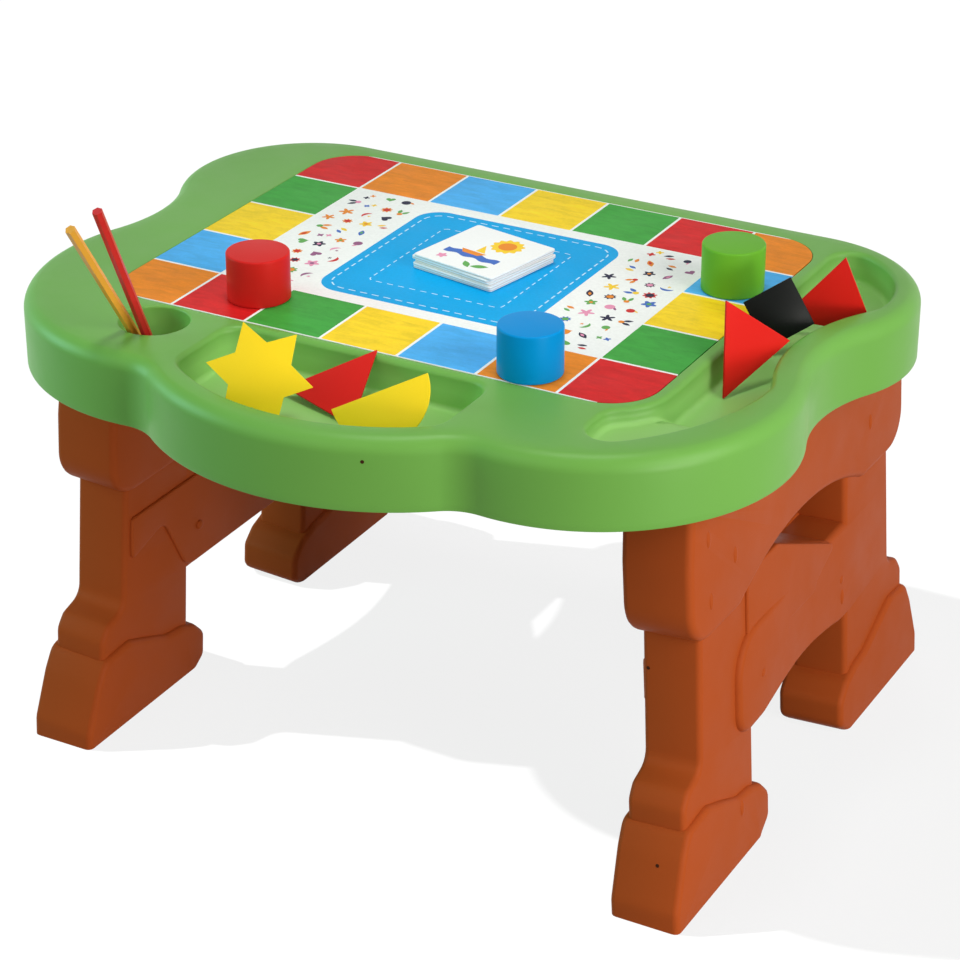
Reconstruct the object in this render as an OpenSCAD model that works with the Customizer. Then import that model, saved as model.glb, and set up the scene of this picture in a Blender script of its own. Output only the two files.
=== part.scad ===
// Child's low activity table: a moulded top with a printed play board, tile
// trays and a pencil cup, on two splayed trestle legs. Millimetres, +Z up.
// The floor is z = 0, +Y is the straight back edge and -Y the front bulge.

/* [Tabletop] */
// Height of the deck above the floor
table_height = 413.5; // [380:0.5:460]
// Half of the overall length of the tabletop along X
top_half_length = 344; // [338:1:352]
// Room between the play board and the tabletop's right-hand end, for the side trough
side_width = 109.5; // [106:0.5:113]
// Overall depth of the tabletop along Y
top_depth = 554; // [548:1:562]
// Height of the skirt that hangs round the deck
skirt_height = 60; // [52:1:72]
// Radius of the rounded edge between deck and skirt
edge_radius = 14; // [8:1:14]
// Wall thickness of the tabletop moulding
top_wall = 3.5; // [2.5:0.5:4]
// Radius of the two back corners
back_corner_radius = 115; // [110:1:120]
// Radius of the two front lobes
lobe_radius = 165; // [162:1:168]
// Radius of the front bulge
bulge_radius = 211; // [206:1:216]
// Radius of the hollow waist between back corner and front lobe
waist_radius = 137; // [110:1:170]
// Radius of the notch between front lobe and front bulge
notch_radius = 43; // [36:1:50]

/* [Play board] */
// Width of the play board along Y
board_width = 370; // [350:1:372]
// Thickness of the play board
board_thickness = 2.5; // [1.5:0.5:3]
// Corner radius of the play board
board_corner = 42; // [30:1:60]
// Place of the board's centre along X
board_x = -7; // [-9:1:-5]
// Place of the board's centre along Y
board_y = 40; // [38:1:42]
// Clearance all round the board in its recess
board_gap = 0.5; // [0.3:0.1:1]

/* [Trays and cup] */
// Width of the rim left between the front tray and the edge of the tabletop
tray_edge_rim = 25; // [22:1:28]
// Width of the rim left between the side trough and the edge of the tabletop
trough_edge_rim = 22; // [20:1:24]
// Half of the length of the front tray
tray_half_length = 118; // [104:1:122]
// Depth of the front tray
tray_depth = 30; // [20:1:34]
// Rim left between the play board and the front tray
tray_rim = 8; // [6:1:12]
// Corner radius of both trays, seen from above
tray_corner = 18; // [12:1:22]
// Depth of the deep part of the side trough
trough_depth = 26; // [18:1:26]
// Depth of the shallow arm of the trough in front of the board
trough_arm_depth = 13; // [10:1:18]
// Rim left between the play board and the side trough
trough_rim = 11; // [9:1:14]
// Depth of the cup for pencils
cup_depth = 45; // [35:1:48]
// Radius of the cup at its mouth
cup_mouth_radius = 28.5; // [28:0.5:31]
// Radius of the cup at its floor
cup_floor_radius = 24.5; // [22:0.5:26]

/* [Legs] */
// Thickness of the foot, the plank and the beam of a leg
leg_thickness = 60; // [54:1:60]
// How far a post is set back from the leg's faces
post_setback = 5; // [3:1:8]
// Distance from the table's middle to the outer face of a leg on the floor
leg_reach = 311; // [309:1:313]
// Angle by which each leg leans inwards as it rises
leg_splay = 3.43; // [3:0.01:4]
// Half of the length of a leg on the floor
foot_half_length = 256; // [250:1:260]
// Half of the length of the beam below the skirt
beam_half_length = 211; // [208:1:213]
// Half of the length of the tongue inside the tabletop
tongue_half_length = 178; // [170:1:180]
// Height of the visible and the hidden beam together
beam_depth = 153; // [150:1:158]
// Height of the plank's lower edge above the floor
plank_low = 110; // [104:1:114]
// Height of the plank
plank_height = 91; // [84:1:94]
// Wall thickness of the leg moulding
leg_wall = 3; // [2.5:0.5:4]
// Clearance between a leg's tongue and its socket
socket_gap = 0.5; // [0.3:0.1:1]
// Depth of the socket below its roof
socket_depth = 27; // [20:1:27]

/* [Toys] */
// Radius of the three round blocks
block_radius = 26; // [20:0.5:30]
// Height of the three round blocks
block_height = 40; // [25:1:55]
// Side of the square picture cards
card_side = 84; // [70:1:95]
// Thickness of one picture card
card_thickness = 2.6; // [1.5:0.1:3.5]
// Thickness of the loose tiles
tile_thickness = 2; // [1.5:0.1:2.5]
// Side of the triangular tiles
triangle_side = 77; // [70:1:80]
// Side of the square tile
square_side = 42.5; // [36:0.5:44]
// Radius of the star tile over its points
star_radius = 42; // [36:0.5:43]
// Radius of the half-disc tile
half_disc_radius = 40.5; // [34:0.5:41]
// Pencil size across its flats
pencil_flats = 7.4; // [6:0.1:7.6]
// Overall length of a pencil
pencil_length = 178; // [150:1:190]
// Radius of a pencil's lead
lead_radius = 1.5; // [0.8:0.1:1.8]

/* [Hidden] */
$fn = 48;
eps = 0.01;
wide = 1000;

leg_brown = "#be5c2a";
top_green = "#78b955";
tile_red = "#cd2a28";
tile_yellow = "#fae13c";

// Flat strip by which the deck and the rounded edge lap
edge_lap = 1;

// Levels
deck_z = table_height;
skirt_z = deck_z - skirt_height;
board_z = deck_z - board_thickness;
tray_z = deck_z - tray_depth;
trough_z = deck_z - trough_depth;
seat_z = trough_z - top_wall;
cup_z = deck_z - cup_depth;

// Outline of the tabletop, from arcs that meet in common tangents
board_end_x = top_half_length - side_width;
board_length = 2 * (board_end_x - board_x);
board_start_x = board_end_x - board_length;
board_to_back = 214;
lobe_inset = 9;
lobe_forward = 123;
back_y = board_y + board_to_back;
front_y = back_y - top_depth;
bulge_at = [0, front_y + bulge_radius];
lobe_at = [top_half_length - lobe_radius - lobe_inset, board_y - lobe_forward];
corner_at = [top_half_length - back_corner_radius, back_y - back_corner_radius];
notch_at = outer_tangent_centre(lobe_at, lobe_radius, bulge_at, bulge_radius, notch_radius);
waist_at = outer_tangent_centre(corner_at, back_corner_radius, lobe_at, lobe_radius, waist_radius);

// Rim of the board recess, and the two trays
recess_front_y = board_y - board_width / 2 - board_gap;
tray_back_y = recess_front_y - tray_rim;
trough_left_x = board_end_x - 20.5;
trough_back_y = board_y + 188;
waist_rim = 29;
arm_edge_at = lobe_at + [-59, 30];
arm_edge_radius = 194;
trough_step_y = board_y - board_width / 2 + 42;

// Places of the toys on the board and of the cup
cup_at = [board_start_x + 72.9, recess_front_y - 31.9];
red_block_at = [board_start_x + 120.5, -97];
blue_block_at = [board_end_x - 101.5, -120];
green_block_at = [board_end_x - 33.5, 104];
card_at = [0, 49];
card_turn = -12;
star_at = [-36.8, front_y + 61.8];
tray_triangle_at = [1.1, tray_back_y - 33.8];
half_disc_at = [57, front_y + 81.7];
tall_triangle_at = [board_end_x + trough_rim + 21.3, board_y - 55.9];
square_at = [board_end_x + trough_rim + 16.3, board_y + 18.6];
back_triangle_at = [top_half_length - 55.8, corner_at.y - 29.2];
card_count = 5;
card_jog = 1.2;
rest_gap = 0.3;
block_edge = 1.2;

// Leg sections, as distances from the leg's middle and heights above the floor
leg_y = board_y + 14;
post_inner = 98;
post_outer_low = 197;
post_outer_high = 193;
post_round = 6;
foot_heel = 77;
foot_round = 12;
toe_height = 20;
toe_shoulder = [15, 62];
instep = [[193, 85], [165, 74], [135, 61], [112, 58], [91, 50]];
heel_height = 32;
ankle_half = 229;
ankle_low = 73;
ankle_high = 113;
sole_extra = 40;
plank_half = 132;
plank_round = 38;
beam_low_z = seat_z - beam_depth;
beam_bow = 29;
beam_flat = 128;
beam_swell = 6;
beam_round = 32;
window_front = [-48, 249];
window_back = [78, 193];
arch_radius = (beam_flat ^ 2 + beam_bow ^ 2) / (2 * beam_bow);
beam_shoulder_z = skirt_z - socket_gap;
nail_radius = 4.5;
nail_proud = 1;
nail_at = [86, 151];
rib = 3;
pan_rib_pitch = 100;
pan_rib_depth = 17.5;
socket_rib_pitch = 80;

// Centre of the circle of radius r that touches two circles from outside,
// on the side to the right of the way from the first to the second circle
function outer_tangent_centre(a, ra, b, rb, r) =
    let (way = b - a, far = norm(way), u = way / far, v = [-u.y, u.x],
         along = (far ^ 2 + (ra + r) ^ 2 - (rb + r) ^ 2) / (2 * far),
         side = sqrt((ra + r) ^ 2 - along ^ 2))
    a + along * u + side * v;
function bearing(from, to) = atan2(to.y - from.y, to.x - from.x);
// Points along an arc of n steps, from the given step on
function arc(at, r, a0, a1, n, first = 0) =
    [for (i = [first : n]) let (a = a0 + (a1 - a0) * i / n) at + r * [cos(a), sin(a)]];

// Right half of the outline from the front middle round to the back, moved in by d
function half_outline(d) =
    let (bn = bearing(bulge_at, notch_at), ln = bearing(lobe_at, notch_at),
         lw = bearing(lobe_at, waist_at), cw = bearing(corner_at, waist_at))
    concat(arc(bulge_at, bulge_radius - d, -90, bn, 7),
           arc(notch_at, notch_radius + d, bn + 180, ln + 180, 4, 1),
           arc(lobe_at, lobe_radius - d, ln, lw, 14, 1),
           arc(waist_at, waist_radius + d, lw + 180, cw + 180, 6, 1),
           arc(corner_at, back_corner_radius - d, cw, 90, 12, 1));
function outline(d) =
    let (half = half_outline(d), n = len(half))
    concat(half, [for (i = [n - 1 : -1 : 1]) [-half[i].x, half[i].y]]);

// Closed band through rings of points, where the last ring meets the first
module ring_band(rings) {
    n = len(rings[0]);
    m = len(rings);
    polyhedron(
        points = [for (ring = rings) each ring],
        faces = [for (k = [0 : m - 1], i = [0 : n - 1])
            let (j = (i + 1) % n, low = k * n, high = ((k + 1) % m) * n)
            each [[low + i, high + i, high + j], [low + i, high + j, low + j]]]);
}
function ring_at(d, z) = [for (p = outline(d)) [p.x, p.y, z]];

module rounded(r) {
    offset(r = r) offset(delta = -r) children();
}

module slab(z0, z1) {
    translate([-wide / 2, -wide / 2, z0]) cube([wide, wide, z1 - z0]);
}

// Rectangle with round corners, made of true arcs
module round_rect(length, width, r) {
    square([length - 2 * r, width], center = true);
    square([length, width - 2 * r], center = true);
    for (sx = [-1, 1], sy = [-1, 1])
        translate([sx * (length / 2 - r), sy * (width / 2 - r)]) circle(r, $fn = 72);
}

module board_plan(grow) {
    translate([board_x, board_y])
        round_rect(board_length + 2 * grow, board_width + 2 * grow, board_corner + grow);
}

module front_tray_plan() {
    rounded(tray_corner) intersection() {
        polygon(outline(tray_edge_rim));
        translate([-tray_half_length, front_y])
            square([2 * tray_half_length, tray_back_y - front_y]);
    }
}

module trough_plan() {
    rounded(tray_corner) difference() {
        polygon(outline(trough_edge_rim));
        board_plan(trough_rim);
        translate([trough_left_x - wide, -wide / 2]) square([wide, wide]);
        translate([0, trough_back_y]) square([wide, wide]);
        translate([0, board_y]) square([board_end_x + trough_rim, wide]);
        translate(waist_at) circle(waist_radius + waist_rim, $fn = 96);
        polygon(concat(arc(arm_edge_at, arm_edge_radius, -100, 14, 24),
            [[wide, 0], [wide, -wide], [0, -wide]]));
    }
}

module trough_deep_plan() {
    difference() {
        trough_plan();
        translate([0, -wide]) square([wide, wide + trough_step_y]);
    }
}

// A basin that hangs under the deck, and the space inside it
module basin(floor_z) {
    translate([0, 0, floor_z - top_wall])
        linear_extrude(deck_z - floor_z) offset(r = top_wall) children();
}
module basin_space(floor_z) {
    translate([0, 0, floor_z]) linear_extrude(deck_z - floor_z + 1) children();
}

// Moves a shape drawn upright to the place and lean of the right-hand leg
module splayed() {
    translate([leg_reach, leg_y, 0]) rotate([0, -leg_splay, 0]) children();
}

// The box of a leg's tongue, made larger all round by a margin
module tongue_box(grow, z0, z1) {
    intersection() {
        slab(z0, z1);
        splayed()
            translate([-leg_thickness - grow, -tongue_half_length - grow, 0])
                cube([leg_thickness + 2 * grow, 2 * (tongue_half_length + grow), table_height]);
    }
}

// Ribs that hang the socket's roof from the deck
module socket_ribs() {
    span = leg_thickness + 2 * (socket_gap + top_wall);
    roof_x = leg_reach - seat_z * tan(leg_splay) + socket_gap + top_wall;
    for (k = [-2 : 2])
        translate([roof_x - span, leg_y + k * socket_rib_pitch - rib / 2, seat_z])
            cube([span, rib, deck_z - seat_z - top_wall / 2]);
}

// Skirt and rounded edge: up outside, over the edge, and down inside the wall
module skirt() {
    inner_radius = edge_radius - top_wall;
    centre_z = deck_z - edge_radius;
    ring_band(concat(
        [ring_at(top_wall, skirt_z), ring_at(0, skirt_z)],
        [for (a = [0 : 22.5 : 90])
            ring_at(edge_radius * (1 - cos(a)), centre_z + edge_radius * sin(a))],
        [ring_at(edge_radius + edge_lap, deck_z), ring_at(edge_radius + edge_lap, deck_z - top_wall)],
        [for (a = [90 : -45 : 0])
            ring_at(edge_radius - inner_radius * cos(a), centre_z + inner_radius * sin(a))]));
}

module deck() {
    translate([0, 0, deck_z - top_wall])
        linear_extrude(top_wall) polygon(outline(edge_radius + edge_lap / 2));
}

// Cross ribs under the pan that carries the board
module pan_ribs() {
    rib_half = leg_reach - leg_thickness - seat_z * tan(leg_splay);
    for (k = [-1 : 1])
        translate([-rib_half, board_y + k * pan_rib_pitch - rib / 2, board_z - pan_rib_depth])
            cube([2 * rib_half, rib, pan_rib_depth - top_wall / 2]);
}

// Everything that hangs under the deck, before it is hollowed out
module underbody() {
    translate([0, 0, board_z - top_wall])
        linear_extrude(top_wall) board_plan(board_gap + top_wall);
    basin(tray_z) front_tray_plan();
    basin(trough_z) trough_deep_plan();
    basin(deck_z - trough_arm_depth) trough_plan();
    translate([cup_at.x, cup_at.y, cup_z - top_wall])
        cylinder(h = cup_depth + top_wall / 2, r1 = cup_floor_radius + top_wall,
            r2 = cup_mouth_radius + top_wall);
    pan_ribs();
    for (side = [0, 1]) mirror([side, 0, 0]) {
        tongue_box(socket_gap + top_wall, seat_z - socket_depth, seat_z + top_wall);
        socket_ribs();
    }
}

module tabletop() {
    color(top_green) {
        skirt();
        difference() {
            union() {
                deck();
                underbody();
            }
            translate([0, 0, board_z]) linear_extrude(board_thickness + 1) board_plan(board_gap);
            basin_space(tray_z) front_tray_plan();
            basin_space(trough_z) trough_deep_plan();
            basin_space(deck_z - trough_arm_depth) trough_plan();
            translate([cup_at.x, cup_at.y, cup_z])
                cylinder(h = cup_depth + eps, r1 = cup_floor_radius, r2 = cup_mouth_radius);
            for (side = [0, 1]) mirror([side, 0, 0])
                tongue_box(socket_gap, skirt_z - 2, seat_z);
        }
    }
}

module play_board() {
    color("#00a5e6") translate([0, 0, board_z])
        linear_extrude(board_thickness) board_plan(0);
}

// Face view of one foot plate, drawn on the positive side
module foot_plan() {
    intersection() {
        rounded(foot_round) polygon(concat([[foot_heel, -sole_extra],
            [foot_half_length, -sole_extra], [foot_half_length, toe_height],
            [foot_half_length - toe_shoulder.x, toe_shoulder.y],
            [ankle_half + 1, ankle_low + 9]], instep, [[foot_heel, heel_height]]));
        square([wide, wide]);
    }
}

// Post with the knob of its ankle above the foot plate
module post_plan() {
    rounded(post_round) polygon([[post_inner, heel_height], [ankle_half - 10, ankle_low - 8],
        [ankle_half, ankle_low + 6], [ankle_half, ankle_high - 14],
        [ankle_half - 9, ankle_high - 2], [post_outer_low, ankle_high + 4],
        [post_outer_high, beam_low_z + 4], [post_outer_high, beam_low_z + 30],
        [post_inner, beam_low_z + 30]]);
}

module plank_plan() {
    translate([0, plank_low + plank_height / 2])
        round_rect(2 * plank_half, plank_height, plank_round);
}

// Panel between the posts that closes the leg below the slanted window
module panel_plan() {
    polygon([[-post_inner - 2, plank_low + 10], [post_inner + 2, plank_low + 10],
        [post_inner + 2, window_back.y - 4], window_back, window_front,
        [window_front.x - 14, window_front.y - 6], [-post_inner - 2, beam_low_z - 6]]);
}

module beam_half_plan() {
    difference() {
        rounded(beam_round) polygon([[-2 * beam_round, beam_low_z],
            [beam_half_length + beam_swell, beam_low_z],
            [beam_half_length + beam_swell, beam_low_z + 2 * beam_round],
            [beam_half_length, beam_shoulder_z + 2 * beam_round],
            [-2 * beam_round, beam_shoulder_z + 2 * beam_round]]);
        translate([0, beam_low_z + beam_bow - arch_radius]) circle(arch_radius, $fn = 180);
        translate([-wide / 2, beam_shoulder_z]) square([wide, wide]);
        translate([-wide, -wide / 2]) square([wide, wide]);
    }
}
module beam_plan() {
    for (side = [0, 1]) mirror([side, 0]) beam_half_plan();
}

module tongue_plan() {
    translate([-tongue_half_length, beam_shoulder_z - 40])
        square([2 * tongue_half_length, seat_z - beam_shoulder_z + 60]);
}

// Thick zones and thin zones of a leg, each as its face view
module thick_plan() {
    for (side = [0, 1]) mirror([side, 0]) foot_plan();
    plank_plan();
    beam_plan();
    tongue_plan();
}
module thin_plan() {
    for (side = [0, 1]) mirror([side, 0]) post_plan();
    panel_plan();
}

// Extrudes a face view to a plate between two depths behind the leg's outer face
module leg_plate(front, back) {
    translate([-back, 0, 0]) rotate([90, 0, 90]) linear_extrude(back - front) children();
}

module leg_nails() {
    for (side = [-1, 1])
        translate([0, side * nail_at.x, nail_at.y]) rotate([0, 90, 0])
            translate([0, 0, -leg_thickness - nail_proud])
                cylinder(h = leg_thickness + 2 * nail_proud, r = nail_radius);
}

module leg() {
    color(leg_brown) intersection() {
        slab(0, seat_z);
        splayed() difference() {
            translate([0, 0, -2]) union() {
                leg_plate(0, leg_thickness) thick_plan();
                leg_plate(post_setback, leg_thickness - post_setback) thin_plan();
                translate([0, 0, 2]) leg_nails();
            }
            leg_plate(leg_wall, leg_thickness - leg_wall) {
                offset(delta = -leg_wall) for (side = [0, 1]) mirror([side, 0]) foot_plan();
                offset(delta = -leg_wall) beam_plan();
                offset(delta = -leg_wall) plank_plan();
                offset(delta = -leg_wall) tongue_plan();
            }
            leg_plate(post_setback + leg_wall, leg_thickness - post_setback - leg_wall)
                offset(delta = -leg_wall) { thin_plan(); thick_plan(); }
        }
    }
}

module right_leg() { leg(); }
module left_leg() { mirror([1, 0, 0]) leg(); }

// Round block with a small bevel at both ends
module block(at) {
    translate([at.x, at.y, deck_z]) rotate_extrude()
        polygon([[0, 0], [block_radius - block_edge, 0], [block_radius, block_edge],
            [block_radius, block_height - block_edge],
            [block_radius - block_edge, block_height], [0, block_height]]);
}
module red_cylinder() { color(tile_red) block(red_block_at); }
module blue_cylinder() { color("#0091d7") block(blue_block_at); }
module green_cylinder() { color("#69af32") block(green_block_at); }

// Places a pencil, drawn upright on its point, in the cup
module in_cup(offset_xy, lean, turn) {
    translate([cup_at.x + offset_xy.x, cup_at.y + offset_xy.y, cup_z + rest_gap])
        rotate([0, 0, turn]) rotate([lean, 0, 0]) children();
}
module sharpened(extra) {
    cone_length = 200;
    cone_angle = 11;
    cylinder(h = cone_length, r1 = 0.3 + extra, r2 = 0.3 + extra + cone_length * tan(cone_angle));
}
module pencil_barrel() {
    difference() {
        intersection() {
            cylinder(h = pencil_length, r = pencil_flats / sqrt(3), $fn = 6);
            sharpened(0);
        }
        translate([0, 0, -1]) cylinder(h = pencil_length + 2, r = lead_radius);
    }
}
module pencil_lead() {
    intersection() {
        cylinder(h = pencil_length, r = lead_radius);
        sharpened(0);
    }
}
yellow_foot = [-6, 6.2];
yellow_lean = 31.9;
yellow_turn = -2.5;
red_foot = [7.3, -2.6];
red_lean = 23.2;
red_turn = -1.9;
module yellow_place() { in_cup(yellow_foot, yellow_lean, yellow_turn) children(); }
module red_place() { in_cup(red_foot, red_lean, red_turn) children(); }
module yellow_pencil() { color("#eba53c") yellow_place() pencil_barrel(); }
module yellow_pencil_lead() { color("#3c3c3c") yellow_place() pencil_lead(); }
module red_pencil() { color("#cd282d") red_place() pencil_barrel(); }
module red_pencil_lead() { color("#3c3c3c") red_place() pencil_lead(); }

// Outlines of the tiles
triangle_points = arc([0, 0], triangle_side / sqrt(3), 90, 330, 2);
square_points = [for (a = [45 : 90 : 315]) square_side / sqrt(2) * [cos(a), sin(a)]];
star_waist = 0.6;
star_points = [for (k = [0 : 11]) star_radius * (k % 2 == 0 ? 1 : star_waist) * [cos(30 * k), sin(30 * k)]];
half_disc_points = arc([0, 0], half_disc_radius, 180, 360, 30);

function turned(p, a) = [p.x * cos(a) - p.y * sin(a), p.x * sin(a) + p.y * cos(a)];

// Stands a tile on a floor: turned in its own plane, tilted up, then headed,
// and lifted until its lowest point clears the floor
module stand_tile(points, at, floor_z, heading, tilt, turn, lift = 0) {
    lowest = min([for (p = points) turned(p, turn).y]);
    z = floor_z + rest_gap + lift - lowest * sin(tilt) + tile_thickness / 2 * abs(cos(tilt));
    translate([at.x, at.y, z]) rotate([0, 0, heading]) rotate([tilt, 0, 0]) rotate([0, 0, turn])
        linear_extrude(tile_thickness, center = true) polygon(points);
}
module yellow_star() {
    color(tile_yellow) stand_tile(star_points, star_at, tray_z, 25.2, 66.8, -11.6);
}
module red_triangle_front() {
    color(tile_red) stand_tile(triangle_points, tray_triangle_at, tray_z, -7.9, 26.8, -10.6);
}
module yellow_half_disc() {
    color(tile_yellow) stand_tile(half_disc_points, half_disc_at, tray_z, 7.8, 62.3, 28.5);
}
module red_triangle_tall() {
    color(tile_red) stand_tile(triangle_points, tall_triangle_at, trough_z, 65.1, 80, -97.9);
}
module black_square() {
    color("#1e1e21") stand_tile(square_points, square_at, trough_z, 32.6, 75.9, 27.2, 5.5);
}
module red_triangle_back() {
    color(tile_red) stand_tile(triangle_points, back_triangle_at, trough_z, 22.7, 99.4, -9);
}

// Card k of the stack, counted from the board
module card(k) {
    color("#f2f2ee")
        translate([card_at.x + card_jog * cos(137 * k), card_at.y + card_jog * sin(137 * k),
            deck_z + (k - 1) * card_thickness])
            rotate([0, 0, card_turn + card_jog * sin(80 * k)])
                linear_extrude(card_thickness) square(card_side, center = true);
}

tabletop();
play_board();
left_leg();
right_leg();
red_cylinder();
blue_cylinder();
green_cylinder();
yellow_pencil();
yellow_pencil_lead();
red_pencil();
red_pencil_lead();
yellow_star();
red_triangle_front();
yellow_half_disc();
red_triangle_tall();
black_square();
red_triangle_back();
for (k = [1 : card_count])
    card(k);
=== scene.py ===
"""Looks of the child's activity table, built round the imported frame. Sizes are worked out
in millimetres in the frame's own axes and written to the meshes in metres."""
import bpy
import bmesh
import math
from contextlib import contextmanager
import numpy as np
from mathutils.geometry import delaunay_2d_cdt
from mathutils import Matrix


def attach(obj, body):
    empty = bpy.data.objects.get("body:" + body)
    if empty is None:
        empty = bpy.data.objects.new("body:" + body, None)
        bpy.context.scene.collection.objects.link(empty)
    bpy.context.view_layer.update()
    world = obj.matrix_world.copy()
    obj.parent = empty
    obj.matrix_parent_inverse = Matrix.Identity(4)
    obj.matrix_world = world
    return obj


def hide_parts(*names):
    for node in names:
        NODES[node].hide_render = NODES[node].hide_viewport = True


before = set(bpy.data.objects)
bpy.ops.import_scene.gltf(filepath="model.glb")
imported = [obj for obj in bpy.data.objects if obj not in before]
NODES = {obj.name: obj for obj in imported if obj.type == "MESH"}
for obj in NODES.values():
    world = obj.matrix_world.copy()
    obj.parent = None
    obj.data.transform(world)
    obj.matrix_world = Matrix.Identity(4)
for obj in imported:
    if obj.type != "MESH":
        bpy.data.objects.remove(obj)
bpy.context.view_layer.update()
MM = 0.001

# --------------------- sizes, in mm
DECK_Z = 413.5
SKIRT_Z = 353.5
BOARD_Z = 411.0
TRAY_DEPTH = 30.0
TROUGH_DEPTH = 26.0
ARM_DEPTH = 13.0
CUP_DEPTH = 45.0
EDGE_RADIUS = 14.0
HALF_LENGTH = 344.0
BOARD_AT = np.array([-7.0, 40.0])
BACK_Y = 254.0
FRONT_Y = -300.0
LEG_Y = 54.0
LEG_REACH = 311.0
LEG_SPLAY = math.radians(3.43)
LEG_THICK = 60.0
SEAT_Z = 384.0
TONGUE_HALF = 178.0
SOCKET_DEPTH = 27.0
SOCKET_WALL = 4.0
SOCKET_GAP = 0.5
RIB_HALF = 1.5
CUP_X = -175.6
RECESS_AREA = 100000.0
SHELL_WALL = 3.2
COVE = 5.0
ROUND_STEPS = 6
CELL = np.array([70.0, 74.0])
CARD_HALF = 42.0
CARD_THICK = 2.6
CARDS = 5


# --------------------- plane curves
def arc(at, radius, a0, a1, steps, first=0):
    """Points at + radius * (cos a, sin a) while a runs evenly from a0 to a1, in degrees."""
    a = np.radians(a0 + (a1 - a0) * np.arange(first, steps + 1) / steps)
    return np.asarray(at) + radius * np.stack([np.cos(a), np.sin(a)], 1)


def circle(radius, steps, at=(0, 0)):
    return arc(at, radius, 0, 360, steps)[:-1]


def tangent_centre(a, ra, b, rb, r):
    """Centre of the circle of radius r that touches two circles from outside, on the right
    of the way from the first to the second: the corner of a triangle with known sides."""
    way = b - a
    far = np.linalg.norm(way)
    u = way / far
    along = (far ** 2 + (ra + r) ** 2 - (rb + r) ** 2) / (2 * far)
    return a + along * u + math.sqrt((ra + r) ** 2 - along ** 2) * np.array([-u[1], u[0]])


def bearing(a, b):
    return math.degrees(math.atan2(b[1] - a[1], b[0] - a[0]))


def outline(inset):
    """The tabletop's outline moved in by inset: half of it is bulge, notch, lobe, waist and
    corner arcs that meet in common tangents, and the other half is its mirror image."""
    bulge_r, notch_r, lobe_r, waist_r, corner_r = 211.0, 43.0, 165.0, 137.0, 115.0
    bulge = np.array([0.0, FRONT_Y + bulge_r])
    lobe = np.array([HALF_LENGTH - lobe_r - 9, BOARD_AT[1] - 123])
    corner = np.array([HALF_LENGTH - corner_r, BACK_Y - corner_r])
    notch = tangent_centre(lobe, lobe_r, bulge, bulge_r, notch_r)
    waist = tangent_centre(corner, corner_r, lobe, lobe_r, waist_r)
    bn, ln = bearing(bulge, notch), bearing(lobe, notch)
    lw, cw = bearing(lobe, waist), bearing(corner, waist)
    half = np.concatenate([
        arc(bulge, bulge_r - inset, -90, bn, 34),
        arc(notch, notch_r + inset, bn + 180, ln + 180, 16, 1),
        arc(lobe, lobe_r - inset, ln, lw, 88, 1),
        arc(waist, waist_r + inset, lw + 180, cw + 180, 34, 1),
        arc(corner, corner_r - inset, cw, 90, 60, 1)])
    return np.concatenate([half, half[:0:-1] * [-1, 1]])


def closed_way(loop):
    """Length of a closed polyline, and a function that gives its points at given lengths."""
    ring = np.concatenate([loop, loop[:1]])
    gone = np.concatenate([[0], np.cumsum(np.linalg.norm(np.diff(ring, axis=0), axis=1))])
    return gone[-1], lambda at: np.stack([np.interp(at, gone, c) for c in ring.T], 1)


def resampled(loop, step):
    """Points at even distances along a closed polyline, about step apart."""
    whole, point = closed_way(loop)
    return point(np.linspace(0, whole, max(12, int(round(whole / step))), endpoint=False))


def softened(loop, passes):
    """Each pass makes every point half of itself and a quarter of each neighbour."""
    for _ in range(passes):
        loop = (np.roll(loop, 1, 0) + 2 * loop + np.roll(loop, -1, 0)) / 4
    return loop


def outward(loop):
    """Unit normals of a closed loop that runs counter-clockwise, from central differences."""
    way = np.roll(loop, -1, 0) - np.roll(loop, 1, 0)
    way /= np.linalg.norm(way, axis=1)[:, None]
    return np.stack([way[:, 1], -way[:, 0]], 1)


def filleted(corners, radius, steps=8):
    """Polygon whose corners are arcs of the given radius that touch both of their sides."""
    pts = np.asarray(corners, float)
    radii = np.broadcast_to(radius, len(pts))
    out = []
    for k, (p, r) in enumerate(zip(pts, radii)):
        a, b = pts[k - 1] - p, pts[(k + 1) % len(pts)] - p
        la, lb = np.linalg.norm(a), np.linalg.norm(b)
        a, b = a / la, b / lb
        half = math.acos(np.clip(a @ b, -1, 1)) / 2
        reach = min(r / math.tan(half), 0.48 * la, 0.48 * lb)
        r = reach * math.tan(half)
        if r < 0.05:
            out.append(p[None])
            continue
        centre = p + (a + b) / np.linalg.norm(a + b) * r / math.sin(half)
        a0 = math.atan2(*(p + a * reach - centre)[::-1])
        a1 = math.atan2(*(p + b * reach - centre)[::-1])
        turn = (a1 - a0 + math.pi) % (2 * math.pi) - math.pi
        out.append(arc(centre, r, math.degrees(a0), math.degrees(a0 + turn), steps))
    return np.concatenate(out)


def inside(points, loop):
    """Even-odd rule: a point is inside if a ray to the right crosses the loop an odd number
    of times."""
    x, y = points[:, 0, None], points[:, 1, None]
    p, q = loop, np.roll(loop, -1, 0)
    cross = (p[:, 1] > y) != (q[:, 1] > y)
    with np.errstate(divide="ignore", invalid="ignore"):
        at = p[:, 0] + (y - p[:, 1]) * (q[:, 0] - p[:, 0]) / (q[:, 1] - p[:, 1])
    return (cross & (x < at)).sum(1) % 2 == 1


def middle_of(loop):
    return (loop.min(0) + loop.max(0)) / 2


def signed_area(loop):
    """Half the sum of the cross products of each point and the next."""
    nxt = np.roll(loop, -1, 0)
    return ((loop[:, 0] * nxt[:, 1]) - (nxt[:, 0] * loop[:, 1])).sum() / 2


def counter_clockwise(loop):
    return loop[::-1] if signed_area(loop) < 0 else loop


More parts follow.
